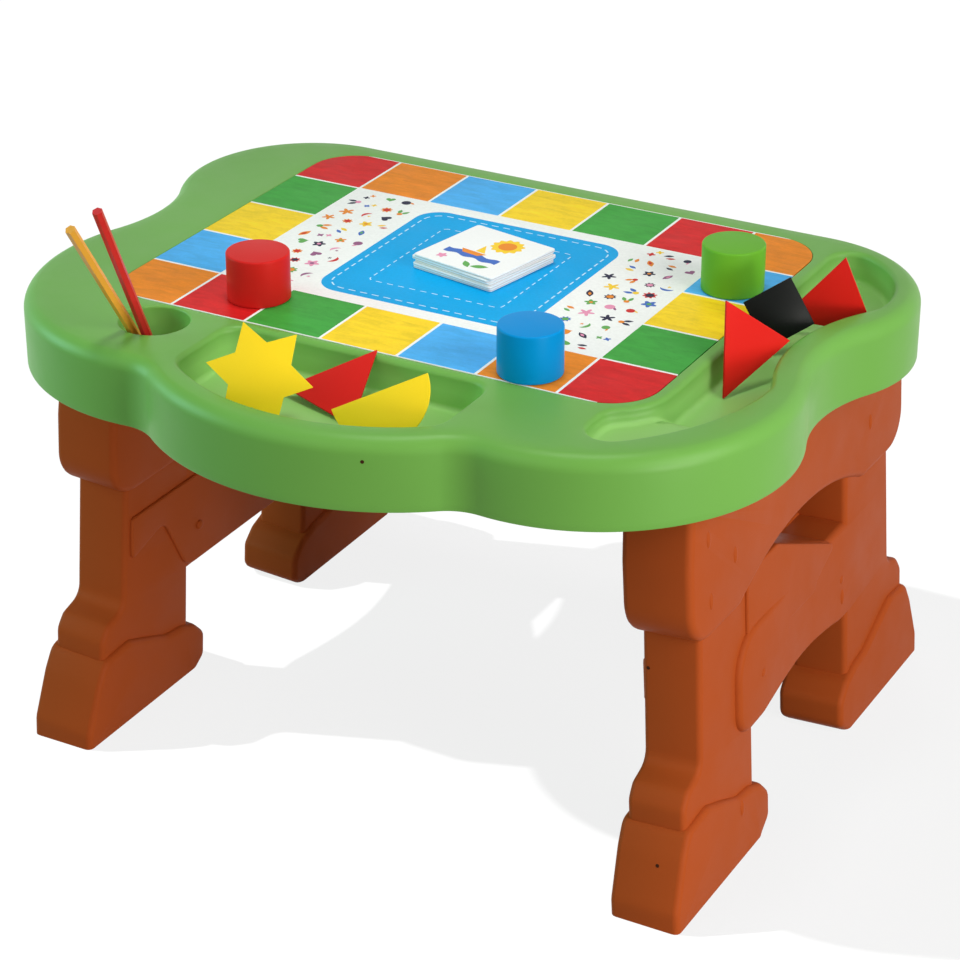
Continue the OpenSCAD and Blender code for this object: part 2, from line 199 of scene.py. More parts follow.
def rotated(at, turn):
    c, s = math.cos(turn), math.sin(turn)
    return np.array([at[0] * c - at[1] * s, at[0] * s + at[1] * c])


def cubic_step(t):
    """3 t^2 - 2 t^3 between 0 and 1, and level outside."""
    t = np.clip(t, 0, 1)
    return t * t * (3 - 2 * t)


def lifted(flat, z):
    return np.column_stack([flat, np.broadcast_to(z, len(flat))])


def nearest(points, loop):
    """Distance from each point to the nearest segment of a closed loop."""
    p, q = loop, np.roll(loop, -1, 0)
    way = q - p
    size = np.maximum((way ** 2).sum(1), 1e-12)
    best = np.full(len(points), 1e9)
    for k in range(0, len(points), 2000):
        rel = points[k:k + 2000, None] - p
        t = np.clip((rel * way).sum(2) / size, 0, 1)
        best[k:k + 2000] = np.sqrt(((rel - t[..., None] * way) ** 2).sum(2).min(1))
    return best


# --------------------- meshes
class Skin:
    """Collects bands and fills of one surface before they become one mesh."""

    def __init__(self):
        self.points, self.faces, self.inks, self.count = [], [], [], 0

    def add(self, points, faces, ink=0):
        self.points.append(np.asarray(points, float))
        self.faces += [[i + self.count for i in f] for f in faces]
        self.inks += [ink] * len(faces)
        self.count += len(points)

    def band(self, rings, ink=0):
        """Quads between each ring of points and the next."""
        rings = np.asarray(rings, float)
        m, n = rings.shape[:2]
        k, i = np.meshgrid(np.arange(m - 1) * n, np.arange(n), indexing="ij")
        j = (i + 1) % n
        quads = np.stack([k + i, k + j, k + n + j, k + n + i], 2).reshape(-1, 4)
        self.add(rings.reshape(-1, 3), quads.tolist(), ink)

    def cap(self, ring, ink=0):
        self.add(ring, [list(range(len(ring)))], ink)

    def fill(self, outer, holes, height, pitch, clear):
        """Triangles between an outer loop and holes, with a grid of points in the free part;
        height gives every point's z from its x and y."""
        lo, hi = outer.min(0), outer.max(0)
        gx, gy = np.meshgrid(np.arange(lo[0], hi[0], pitch), np.arange(lo[1], hi[1], pitch))
        grid = np.stack([gx.ravel(), gy.ravel()], 1)
        grid = grid[inside(grid, outer) & (nearest(grid, outer) > clear)]
        for hole in holes:
            grid = grid[~inside(grid, hole) & (nearest(grid, hole) > clear)]
        pts, edges = [], []
        for loop in [outer] + list(holes):
            n, start = len(loop), sum(len(p) for p in pts)
            pts.append(loop)
            edges += [(start + i, start + (i + 1) % n) for i in range(n)]
        pts.append(grid)
        made = delaunay_2d_cdt(np.concatenate(pts).tolist(), edges, [], 0, 1e-6)
        flat = np.array([tuple(v) for v in made[0]])
        faces = np.array(made[2])
        middle = flat[faces].mean(1)
        keep = inside(middle, outer)
        for hole in holes:
            keep &= ~inside(middle, hole)
        z = height(flat) if callable(height) else np.full(len(flat), float(height))
        self.add(np.column_stack([flat, z]), faces[keep].tolist())


def capped(rings):
    """Closed skin: a band of rings with a face on the first and on the last."""
    skin = Skin()
    skin.band(rings)
    skin.cap(rings[0])
    skin.cap(rings[-1])
    return skin


def put(name, data):
    obj = bpy.data.objects.new(name, data)
    bpy.context.scene.collection.objects.link(obj)
    return obj


def points_of(mesh):
    """The mesh's points in metres, one row each."""
    co = np.zeros(len(mesh.vertices) * 3)
    mesh.vertices.foreach_get("co", co)
    return co.reshape(-1, 3)


@contextmanager
def opened(mesh):
    """The mesh as a bmesh, written back at the end of the with block."""
    work = bmesh.new()
    work.from_mesh(mesh)
    yield work
    work.to_mesh(mesh)
    work.free()


def make(name, skin, materials, body, replaced=(), merge=0.02, sharp=35, up=False,
         outwards=True):
    """Turns a skin into an object at the origin that rides on a body. Doubles are merged
    first and the normals set afterwards."""
    mesh = bpy.data.meshes.new(name)
    mesh.from_pydata((np.concatenate(skin.points) * MM).tolist(), [], skin.faces)
    mesh.polygons.foreach_set("material_index", skin.inks)
    with opened(mesh) as work:
        if merge:
            bmesh.ops.remove_doubles(work, verts=work.verts, dist=merge * MM)
            bmesh.ops.dissolve_degenerate(work, edges=work.edges, dist=1e-7)
        if outwards:
            bmesh.ops.recalc_face_normals(work, faces=work.faces)
        if up and sum(f.normal.z * f.calc_area() for f in work.faces) < 0:
            bmesh.ops.reverse_faces(work, faces=work.faces)
    return dress(name, mesh, materials, body, replaced, sharp)


def dress(name, mesh, materials, body, replaced=(), sharp=35):
    """Makes an object of a mesh, smooth but for its sharp edges, that rides on a body."""
    mesh.polygons.foreach_set("use_smooth", [True] * len(mesh.polygons))
    mesh.set_sharp_from_angle(angle=math.radians(sharp))
    obj = put(name, mesh)
    inks = np.zeros(len(mesh.polygons), np.int32)
    mesh.polygons.foreach_get("material_index", inks)
    mesh.materials.clear()
    for m in materials:
        mesh.materials.append(m)
    mesh.polygons.foreach_set("material_index", np.minimum(inks, len(materials) - 1))
    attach(obj, body)
    if replaced:
        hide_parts(*replaced)
    return obj


# --------------------- materials
def srgb(r, g, b):
    """Linear colour from 0 to 255 display values, by the display standard's own curve."""
    v = np.array([r, g, b]) / 255
    return tuple(np.where(v <= 0.04045, v / 12.92, ((v + 0.055) / 1.055) ** 2.4)) + (1.0,)


def link(tree, a, b):
    tree.links.new(a, b)


def feed(tree, value, socket):
    """Links a value that is a socket itself, and writes one that is a constant."""
    if hasattr(value, "is_output"):
        link(tree, value, socket)
    else:
        socket.default_value = value


def math_node(tree, kind, a, b=None, c=None):
    node = tree.nodes.new("ShaderNodeMath")
    node.operation = kind
    for value, socket in zip((a, b, c), node.inputs):
        if value is not None:
            feed(tree, value, socket)
    return node.outputs[0]


def vector_node(tree, kind, a, b=None, output=0):
    node = tree.nodes.new("ShaderNodeVectorMath")
    node.operation = kind
    feed(tree, a, node.inputs[0])
    if b is not None:
        feed(tree, b, node.inputs["Scale" if kind == "SCALE" else 1])
    return node.outputs[output]


def mix_colour(tree, share, a, b):
    node = tree.nodes.new("ShaderNodeMix")
    node.data_type = "RGBA"
    for k, value in ((0, share), (6, a), (7, b)):
        feed(tree, value, node.inputs[k])
    return node.outputs[2]


def skin_group():
    """Shader group for anything moulded, lacquered or printed: a slow drift of colour, fine
    specks, a cloudy roughness and a fine grain as height, all from noise on the position."""
    group = bpy.data.node_groups.new("maker's skin", "ShaderNodeTree")
    for way, sockets in (("INPUT", (("Position", "Vector"), ("Colour", "Color"),
                                    ("Drift", "Float"), ("Speck", "Float"),
                                    ("Grain size", "Float"), ("Roughness", "Float"),
                                    ("Roughness spread", "Float"))),
                         ("OUTPUT", (("Colour", "Color"), ("Roughness", "Float"),
                                     ("Height", "Float")))):
        for name, kind in sockets:
            group.interface.new_socket(name=name, in_out=way, socket_type="NodeSocket" + kind)
    into = group.nodes.new("NodeGroupInput")
    out = group.nodes.new("NodeGroupOutput")

    def noise(scale, detail):
        node = group.nodes.new("ShaderNodeTexNoise")
        node.inputs["Detail"].default_value = detail
        link(group, into.outputs["Position"], node.inputs["Vector"])
        feed(group, scale, node.inputs["Scale"])
        return math_node(group, "SUBTRACT", node.outputs["Fac"], 0.5)

    def varied(base, wave, share):
        """base + 4 * wave * share, since the noises reach about a quarter to both sides."""
        return math_node(group, "MULTIPLY_ADD", wave, math_node(
            group, "MULTIPLY", into.outputs[share], 4.0), base)

    slow, fine = noise(9.0, 2.0), noise(into.outputs["Grain size"], 2.0)
    shade = varied(varied(1.0, slow, "Drift"), fine, "Speck")
    rough = varied(into.outputs["Roughness"], noise(35.0, 3.0), "Roughness spread")
    link(group, vector_node(group, "SCALE", into.outputs["Colour"], shade), out.inputs["Colour"])
    link(group, rough, out.inputs["Roughness"])
    link(group, fine, out.inputs["Height"])
    return group


SKIN = skin_group()


def finish_of(name, colour, rough=0.4, spread=0.05, drift=0.05, speck=0.02, grain=900.0,
              depth=0.00005, shine=0.07, paint=None):
    """A material whose colour is one value or what paint(tree, coordinates) works out."""
    material = bpy.data.materials.new(name)
    material.use_nodes = True
    tree = material.node_tree
    shader = tree.nodes["Principled BSDF"]
    where = tree.nodes.new("ShaderNodeTexCoord").outputs["Object"]
    skin = tree.nodes.new("ShaderNodeGroup")
    skin.node_tree = SKIN
    link(tree, where, skin.inputs["Position"])
    for socket, value in (("Colour", colour), ("Drift", drift), ("Speck", speck),
                          ("Grain size", grain), ("Roughness", rough),
                          ("Roughness spread", spread)):
        skin.inputs[socket].default_value = value
    if paint:
        link(tree, paint(tree, where), skin.inputs["Colour"])
    link(tree, skin.outputs["Colour"], shader.inputs["Base Color"])
    link(tree, skin.outputs["Roughness"], shader.inputs["Roughness"])
    bump = tree.nodes.new("ShaderNodeBump")
    bump.inputs["Distance"].default_value = depth
    link(tree, skin.outputs["Height"], bump.inputs["Height"])
    link(tree, bump.outputs["Normal"], shader.inputs["Normal"])
    shader.inputs["Specular IOR Level"].default_value = shine
    return material


def print_colours(tree, where):
    """The board's print: a seven by five grid of cells with white lines, of which the outer
    ring is coloured in turn and the inside is white round a blue square with round corners."""
    cells = "robygro" + "orgybor" + "byg" + "gyb"
    inks = {"r": srgb(214, 34, 34), "o": srgb(238, 138, 32), "b": srgb(80, 178, 242),
            "y": srgb(253, 214, 40), "g": srgb(64, 160, 62)}
    white = srgb(248, 248, 244)
    line_half, band_half = 1.2, (176.2, 112.2)
    square_half, square_corner = (96.5, 97.5), 23.0

    def op(kind, a, b=None, c=None):
        return math_node(tree, kind, a, b, c)

    def near_line(t, cell):
        off = op("ABSOLUTE", op("SUBTRACT", op("FRACT", t), 0.5))
        return op("GREATER_THAN", off, 0.5 - line_half / float(cell))

    def past(t, half):
        return op("MAXIMUM", op("SUBTRACT", op("ABSOLUTE", t), (half - square_corner) * MM), 0.0)

    split = tree.nodes.new("ShaderNodeSeparateXYZ")
    link(tree, where, split.inputs[0])
    x, y = (op("SUBTRACT", split.outputs[k], float(BOARD_AT[k] * MM)) for k in (0, 1))
    u = op("MULTIPLY_ADD", x, float(1 / (CELL[0] * MM)), 3.5)
    v = op("MULTIPLY_ADD", y, float(1 / (CELL[1] * MM)), 2.5)
    col, row = op("FLOOR", u), op("FLOOR", v)
    # place along the ring: back row 0..6, front row 7..13, left column 14..16, right 17..19
    back, front = op("GREATER_THAN", row, 3.5), op("LESS_THAN", row, 0.5)
    right = op("GREATER_THAN", col, 3.0)
    side = op("ADD", op("MULTIPLY_ADD", right, 3.0, 13.0), row)
    number = op("MULTIPLY_ADD", front, 7.0, col)
    pick = tree.nodes.new("ShaderNodeMix")
    for k, value in ((0, op("MAXIMUM", back, front)), (2, side), (3, number)):
        link(tree, value, pick.inputs[k])
    ramp = tree.nodes.new("ShaderNodeValToRGB")
    ramp.color_ramp.interpolation = "CONSTANT"
    stops = ramp.color_ramp.elements
    while len(stops) < len(cells):
        stops.new(0.5)
    for k, letter in enumerate(cells):
        stops[k].position = k / len(cells)
        stops[k].color = inks[letter]
    link(tree, op("MULTIPLY_ADD", pick.outputs[0], 1 / len(cells), 0.5 / len(cells)),
         ramp.inputs[0])
    # watercolour strokes in the cells: a stretched noise lightens and darkens the ink
    strokes = tree.nodes.new("ShaderNodeTexNoise")
    for socket, value in (("Scale", 1.0), ("Detail", 3.0), ("Distortion", 0.6)):
        strokes.inputs[socket].default_value = value
    brush = tree.nodes.new("ShaderNodeMapping")
    brush.inputs["Rotation"].default_value = (0, 0, 0.6)
    brush.inputs["Scale"].default_value = (45, 140, 45)
    link(tree, where, brush.inputs["Vector"])
    link(tree, brush.outputs[0], strokes.inputs["Vector"])
    inked = vector_node(tree, "SCALE", ramp.outputs[0],
                        op("MULTIPLY_ADD", strokes.outputs["Fac"], 0.5, 0.75))
    lines = op("MAXIMUM", near_line(u, CELL[0]), near_line(v, CELL[1]))
    colour = mix_colour(tree, lines, inked, white)
    inner = op("MULTIPLY", op("LESS_THAN", op("ABSOLUTE", x), band_half[0] * MM),
               op("LESS_THAN", op("ABSOLUTE", y), band_half[1] * MM))
    colour = mix_colour(tree, inner, colour, white)
    # blue square: distance to a box with round corners, sqrt(px^2 + py^2)
    px, py = past(x, square_half[0]), past(y, square_half[1])
    far = op("SQRT", op("ADD", op("MULTIPLY", px, px), op("MULTIPLY", py, py)))
    square = op("LESS_THAN", far, square_corner * MM)
    return mix_colour(tree, square, colour, srgb(0, 165, 228))


def basin_tint(tree, where):
    """The moulding's green, painted paler inside trays and cup by the mesh's own painted-light
    value: painted light that lifts the shade in these recesses.
    """
    value = tree.nodes.new("ShaderNodeAttribute")
    value.attribute_name = "basin"
    return mix_colour(tree, value.outputs["Fac"], srgb(108, 168, 70), srgb(150, 204, 112))


# the green is painted paler in trays and cup: painted light against the shade there
GREEN = finish_of("green moulding", srgb(108, 168, 70), 0.42, 0.04, 0.03, 0.01, 1400, 0.00004,
                  0.28, basin_tint)
BROWN = finish_of("brown moulding", srgb(174, 78, 32), 0.5, 0.05, 0.04, 0.015, 1200, 0.00005,
                  0.06)
BOARD = finish_of("printed board", (1, 1, 1, 1), 0.42, 0.05, 0.03, 0.04, 420, 0.00002,
                  paint=print_colours)
BLOCKS = {word: finish_of(word + " block", srgb(*rgb), 0.38, 0.04, 0.03, 0.01)
          for word, rgb in (("red", (210, 36, 32)), ("blue", (0, 142, 214)),
                            ("green", (104, 174, 48)))}
TILES = {word: finish_of(word + " tile", srgb(*rgb), *look)
         for word, rgb, look in (("red", (214, 34, 28), (0.34, 0.05, 0.03, 0.01)),
                                 ("yellow", (254, 218, 40), (0.34, 0.05, 0.03, 0.01)),
                                 ("black", (18, 20, 19), (0.36, 0.05, 0.05, 0.02)))}
CARD = finish_of("card", srgb(246, 245, 243), 0.5, 0.05, 0.02, 0.02, 700)
CARD_TINT = finish_of("tinted card edge", srgb(226, 208, 196), 0.55, 0.05, 0.03, 0.02, 700)
STITCH = finish_of("white stitch print", srgb(196, 234, 250), 0.45)
# painted shade: the dark inside of the mould's small vent holes
VENT_HOLE_SHADE = finish_of("painted vent hole shade", srgb(60, 30, 16), 0.6)
INK_WORDS = ("red", "orange", "blue", "navy", "pink", "yellow", "green", "plum")
INKS = [finish_of("ink " + word, srgb(*rgb), 0.45) for word, rgb in zip(INK_WORDS, (
    (206, 50, 48), (234, 140, 48), (70, 110, 190), (38, 38, 62), (232, 150, 180),
    (248, 206, 56), (100, 168, 86), (150, 92, 130)))]

# --------------------- tabletop
def deck_holes():
    """The holes in the deck, as counter-clockwise loops, from the solid's own deck face."""
    mesh = NODES["tabletop"].data
    mesh.calc_loop_triangles()
    tri = np.zeros(len(mesh.loop_triangles) * 3, int)
    mesh.loop_triangles.foreach_get("vertices", tri)
    spots, same = np.unique(np.round(points_of(mesh) / MM, 2), axis=0, return_inverse=True)
    tri = same.ravel()[tri].reshape(-1, 3)
    tri = tri[(np.abs(spots[tri][..., 2] - DECK_Z) < 0.05).all(1)]
    sides = {(a, b) for t in tri.tolist() for a, b in zip(t, t[1:] + t[:1])}
    follow = {a: b for a, b in sides if (b, a) not in sides}
    loops = []
    while follow:
        start = next(iter(follow))
        loop, at = [start], follow.pop(start)
        while at != start:
            loop.append(at)
            at = follow.pop(at)
        loops.append(spots[loop][:, :2])
    return [loop[::-1] for loop in loops if signed_area(loop) < 0]


def is_trough(loop):
    return signed_area(loop) < RECESS_AREA and middle_of(loop)[0] > 100


RIM = outline(0)


def edge_drop(points):
    """How far the rounded outer edge has fallen below the deck: R - sqrt(R^2 - (R - d)^2)
    at distance d from the outline, up to R."""
    d = np.minimum(nearest(points, RIM), EDGE_RADIUS)
    return EDGE_RADIUS - np.sqrt(np.maximum(EDGE_RADIUS ** 2 - (EDGE_RADIUS - d) ** 2, 0))


def deck_height(points):
    return DECK_Z - edge_drop(points)


def lip_rings(loop, lip):
    """Quarter round from the deck into a hole: at angle a it stands lip * (1 - sin a) outside
    the wall and lip * (1 - cos a) below the deck."""
    n = outward(loop)
    rings = []
    for a in np.radians(np.linspace(0, 90, ROUND_STEPS + 1)):
        flat = loop + n * lip * (1 - math.sin(a))
        rings.append(lifted(flat, deck_height(flat) - lip * (1 - math.cos(a))))
    return rings


def basin_rings(loop, lip, depth, draft):
    """Wall below a lip that leans in by draft, and a quarter round cove to the floor."""
    n = outward(loop)
    low = depth(loop) if callable(depth) else np.full(len(loop), float(depth))
    top = lip + edge_drop(loop)
    rings = []
    for t in (0.0, 0.5, 1.0):
        rings.append(lifted(loop - n * draft * t, DECK_Z - top - (low - COVE - top) * t))
    for b in np.radians(np.linspace(0, 90, ROUND_STEPS + 1)[1:]):
        rings.append(lifted(loop - n * (draft + COVE * (1 - math.cos(b))),
                            DECK_Z - low + COVE * (1 - math.sin(b))))
    return rings


def trough_floor(points):
    """Depth of the trough: the arm's depth in front and the full depth behind, with a smooth
    cubic step between y = -128 and y = -102."""
    return ARM_DEPTH + (TROUGH_DEPTH - ARM_DEPTH) * cubic_step((points[:, 1] + 128) / 26)


def tabletop():
    """The green moulding, with a painted-light value from 0 at the deck to 1 at 12 mm below it,
    by which trays and cup are painted paler as painted light against their shade.
    """
    skin = Skin()
    # skirt and rounded edge, one ring per height
    rings = [lifted(outline(0.8), SKIRT_Z), lifted(outline(0.25), SKIRT_Z + 0.2),
             lifted(RIM, SKIRT_Z + 0.9)]
    rings += [lifted(RIM, z) for z in np.linspace(SKIRT_Z + 6, DECK_Z - EDGE_RADIUS, 4)]
    reach = math.degrees(math.acos(3 / EDGE_RADIUS))
    for a in np.radians(np.linspace(0, reach, 10)[1:]):
        d = EDGE_RADIUS * (1 - math.cos(a))
        rings.append(lifted(outline(d), DECK_Z - EDGE_RADIUS * (1 - math.sin(a))))
    skin.band(rings)
    # holes, sorted by their size and place; each has a lip, a wall and a floor
    lips = []
    for loop in deck_holes():
        if signed_area(loop) > RECESS_AREA:
            loop, lip, depth, grid = softened(resampled(loop, 3), 1), 0.8, None, (30, 10)
        elif abs(middle_of(loop)[0] - CUP_X) < 5:
            loop = circle(np.ptp(loop[:, 0]) / 2, 72, middle_of(loop))
            lip, depth, draft, grid = 2.2, CUP_DEPTH, 3.4, (6, 3)
        else:
            depth = trough_floor if is_trough(loop) else TRAY_DEPTH
            lip, draft, grid = 4.5, 1.5, (6, 3)
            loop = softened(resampled(loop, 2.5), 8)
        walls = lip_rings(loop, lip)
        skin.band(walls)
        lips.append(walls[0][:, :2])
        if depth is None:
            walls, floor = [walls[-1], lifted(loop, BOARD_Z)], BOARD_Z
        else:
            walls = basin_rings(loop, lip, depth, draft)
            floor = (lambda p: DECK_Z - trough_floor(p)) if callable(depth) else DECK_Z - depth
        skin.band(walls)
        skin.fill(walls[-1][:, :2], [], floor, *grid)
    skin.fill(rings[-1][:, :2], lips, deck_height, 9, 5)
    obj = make("tabletop_shell", skin, [GREEN], "tabletop", ["tabletop"],
               up=True, sharp=50)
    co = points_of(obj.data) / MM
    off_edge = nearest(co[:, :2], RIM) > EDGE_RADIUS + 3
    # painted light: trays and cup are painted paler with depth below the deck, away from the
    # rounded edge
    painted_light_layer = obj.data.attributes.new("basin", "FLOAT", "POINT")
    painted_light_layer.data.foreach_set("value", np.clip((DECK_Z - co[:, 2]) / 12, 0, 1) * off_edge)
    wall = obj.modifiers.new("wall", "SOLIDIFY")
    wall.thickness, wall.offset = SHELL_WALL * MM, -1


tabletop()

# --------------------- legs
def slab(plan, outer, inner, edge, steps=4):
    """Plate between two depths behind a leg's outer face: at angle a of its rounded edge the
    plan is drawn in by edge * (1 - sin a) and lies edge * (1 - cos a) below the face."""
    loop = counter_clockwise(resampled(plan, 3.5))
    n = outward(softened(loop, 2))
    rings = []
    for side, face in ((1, -outer), (-1, -inner)):
        angles = np.radians(np.linspace(0, 90, steps + 1))
        for a in angles if side > 0 else angles[::-1]:
            x = np.full(len(loop), face - side * edge * (1 - math.cos(a)))
            rings.append(np.column_stack([x, loop - n * edge * (1 - math.sin(a))]))
    return capped(rings)


def bump(at, depth, size):
    """Ellipsoid with half axes size at a face point: (a cos u cos v, b sin u cos v, c sin v)."""
    u = np.linspace(0, 2 * math.pi, 24, endpoint=False)
    return capped([np.column_stack([-depth + size[0] * np.cos(u) * math.cos(v),
                                    at[0] + size[1] * np.sin(u) * math.cos(v),
                                    np.full(len(u), at[1] + size[2] * math.sin(v))])
                   for v in np.radians(np.linspace(-84, 84, 15))])


def rod_x(at, radius, x0, x1, dome):
    """Rod along X with a domed head at both ends."""
    ends = [(x0, 0.3), (x0 + 0.3 * dome, 0.75), (x0 + dome, 1), (x1 - dome, 1),
            (x1 - 0.3 * dome, 0.75), (x1, 0.3)]
    ring = circle(radius, 28)
    return capped([np.column_stack([np.full(len(ring), x), ring * k + at]) for x, k in ends])


def raw_mesh(name, skin):
    """Closed mesh of a skin, for joining."""
    mesh = bpy.data.meshes.new(name)
    mesh.from_pydata((np.concatenate(skin.points) * MM).tolist(), [], skin.faces)
    with opened(mesh) as work:
        bmesh.ops.remove_doubles(work, verts=work.verts, dist=1e-6)
        bmesh.ops.recalc_face_normals(work, faces=work.faces)
        bmesh.ops.triangulate(work, faces=[f for f in work.faces if len(f.verts) > 4])
    return mesh


def joined(name, adds, cuts=()):
    """Mesh of all the added skins as one closed surface, less the cut ones."""
    first = put(name, raw_mesh(name, adds[0]))
    helpers = [first]
    for k, (skin, kind) in enumerate([(a, "UNION") for a in adds[1:]]
                                     + [(c, "DIFFERENCE") for c in cuts]):
        word = "%s_%d" % (name, k)
        other = put(word, raw_mesh(word, skin))
        helpers.append(other)
        step = first.modifiers.new("step", "BOOLEAN")
        step.operation, step.solver, step.object = kind, "MANIFOLD", other
    bpy.context.view_layer.update()
    mesh = bpy.data.meshes.new_from_object(first.evaluated_get(
        bpy.context.evaluated_depsgraph_get()))
    for obj in helpers:
        old = obj.data
        bpy.data.objects.remove(obj)
        bpy.data.meshes.remove(old)
    return mesh


def upright(loop, z0, z1):
    return capped([lifted(loop, z0), lifted(loop, z1)])


def box_skin(lo, hi):
    (x0, y0, z0), (x1, y1, z1) = lo, hi
    return upright(np.array([(x0, y0), (x1, y0), (x1, y1), (x0, y1)]), z0, z1)


def leg_mesh(side):
    """One leg in its own upright frame, tilted by the splay, set in place, cut flat on the
    floor and in its socket, and mirrored for the left side."""
    t = LEG_THICK
    plates = []

    def plate(corners, rounds, outer, inner, edge, way=1, steps=8):
        plates.append(slab(filleted(corners, rounds, steps) * [way, 1], outer, inner, edge))

    foot = [(94, -40), (256, -40), (256, 20), (241, 62), (230, 82), (193, 85), (165, 74),
            (135, 61), (112, 58), (91, 50), (77, 36), (77, 12), (94, 0)]
    foot_rounds = (1, 1, 12, 30, 14, 20, 20, 16, 10, 14, 10, 10, 6)
    post = [(98, 34), (217, 60), (229, 78), (229, 99), (220, 111), (197, 118), (193, 235),
            (193, 262), (98, 262)]
    post_rounds = (1, 4, 12, 14, 8, 12, 1, 1, 1)
    for way in (1, -1):
        plate(foot, foot_rounds, 0, t, 5.5, way)
        plate(post, post_rounds, 5, t - 5, 5, way)
    # the plank's lower edge is arched 10 mm over 184 mm, by the circle of radius rise
    rise = (92 ** 2 + 10 ** 2) / 20
    hollow = arc((0, 120 - rise), rise, 101.6, 78.4, 12)
    plan = np.concatenate([[(-132, 110)], hollow, [(132, 110), (132, 201), (-132, 201)]])
    rounds = np.concatenate([[38], np.zeros(len(hollow)), [38, 38, 38]])
    plate(plan, rounds, 0, t, 5.5, steps=12)
    # the plank's outer face sinks back to the rear post, a cubic step along the leg, and its
    # inner face lies level with the posts
    sink = 4.8
    for p in plates[-1].points:
        p[:, 0] += np.where(p[:, 0] > -t / 2, -sink * cubic_step((p[:, 1] + 90) / 120), sink)
    band = [(-188, 163), (-140, 178), (-104, 116), (104, 116), (140, 178), (188, 163),
            (188, 203), (-188, 203)]
    plate(band, (3, 12, 20, 20, 12, 3, 3, 3), t - 12, t - 2, 2)
    panel = [(-104, 120), (104, 120), (104, 187), (78, 193), (-48, 249), (-62, 244), (-104, 228)]
    plate(panel, (1, 1, 2, 6, 4, 4, 1), 5, t - 5, 4)
    face = [(-110, 170), (24, 170), (30, 178), (70, 195), (-50, 250), (-110, 250)]
    plate(face, (1, 1, 8, 4, 4, 1), 2.4, 30, 2)
    # the beam's lower edge is arched 29 mm over 256 mm
    radius = (128 ** 2 + 29 ** 2) / 58
    arch = arc((0, 260 - radius), radius, 115.5, 64.5, 24)
    beam = np.concatenate([[(-217, 231), (-130, 231)], arch,
                           [(130, 231), (217, 231), (217, 300), (211, 353), (-211, 353),
                            (-217, 300)]])
    rounds = np.concatenate([[54, 12], np.zeros(len(arch)), [12, 54, 60, 0, 0, 60]])
    plate(beam, rounds, 0, t, 6.5, steps=12)
    tongue = [(-TONGUE_HALF, 330), (TONGUE_HALF, 330), (TONGUE_HALF, 400), (-TONGUE_HALF, 400)]
    plate(tongue, 2, 0, t, 2)
    for y, head in ((-86, 1), (89, -3.8)):
        plates.append(rod_x((y, 151), 4.5, -t - 1, head, 2))
    for at, depth in (((-185, 316), 0.4), ((-137, 281), 0.4), ((-182, 262), 0.4),
                      ((141, 278), 0.4), ((-132, 49), 0.4), ((90, 134), 5.1)):
        plates.append(bump(at, depth, (1.8, 3.4, 7.5)))
    lean, turn = math.sin(LEG_SPLAY), math.cos(LEG_SPLAY)
    for skin in plates:
        skin.points = [np.column_stack([LEG_REACH + p[:, 0] * turn - (p[:, 2] - 2) * lean,
                                        LEG_Y + p[:, 1],
                                        p[:, 0] * lean + (p[:, 2] - 2) * turn])
                       for p in skin.points]
    cuts = [box_skin((150, -400, -200), (450, 500, 0)),
            box_skin((150, -400, SEAT_Z), (450, 500, 600))]
    mesh = joined("leg", plates, cuts)
    if side < 0:
        with opened(mesh) as work:
            for v in work.verts:
                v.co.x = -v.co.x
            bmesh.ops.reverse_faces(work, faces=work.faces)
    return mesh


for side, word in ((1, "right_leg"), (-1, "left_leg")):
    dress(word + "_skin", leg_mesh(side), [BROWN], word, [word], 32)


def vent(name, body, at, facing):
    """Small round vent hole of the mould, drawn as a thin dark disc on the face that carries it:
    painted shade standing for the dark inside of the hole.
    """
    facing = np.array(facing) / np.linalg.norm(facing)
    across = np.cross(facing, (0, 0, 1))
    across /= np.linalg.norm(across)
    upward = np.cross(across, facing)
    ring = circle(1.5, 20)
    ring = ring[:, :1] * across + ring[:, 1:] * upward
    skin = capped([np.array(at) + facing * d + ring * k
                   for d, k in ((-0.6, 1.0), (0.12, 1.0), (0.16, 0.8))])
    make(name, skin, [VENT_HOLE_SHADE], body, merge=0)


vent("skirt_vent", "tabletop", (80.7, -284.0, 395.3), (0.382, -0.924, 0))
vent("toe_vent", "right_leg", (285.6, -189.8, 50.7), (-0.02, -0.942, 0.336))
vent("post_vent", "right_leg", (249.5, -140.2, 194.1), (-0.005, -0.999, 0.034))


# --------------------- under the tabletop
def leaning(side, grow, nip, z0, z1):
    """Box round a leg's tongue: at height z it reaches from REACH - z tan(splay) less the leg's
    thickness and the margin, to the margin outside, both over cos(splay), with its two outer
    corners nipped off."""
    fall, turn = math.tan(LEG_SPLAY), math.cos(LEG_SPLAY)
    y0, y1 = LEG_Y - TONGUE_HALF - grow, LEG_Y + TONGUE_HALF + grow
    rings = []
    for z in (z0, z1):
        face = LEG_REACH - z * fall
        far, near = face + grow / turn, face - (LEG_THICK + grow) / turn
        plan = np.array([(near, y0), (far - nip, y0), (far, y0 + nip), (far, y1 - nip),
                         (far - nip, y1), (near, y1)])
        rings.append(lifted(plan * [side, 1], z))
    return capped(rings)


def rib(x0, x1, y, z0, z1):
    return box_skin((min(x0, x1), y - RIB_HALF, z0), (max(x0, x1), y + RIB_HALF, z1))


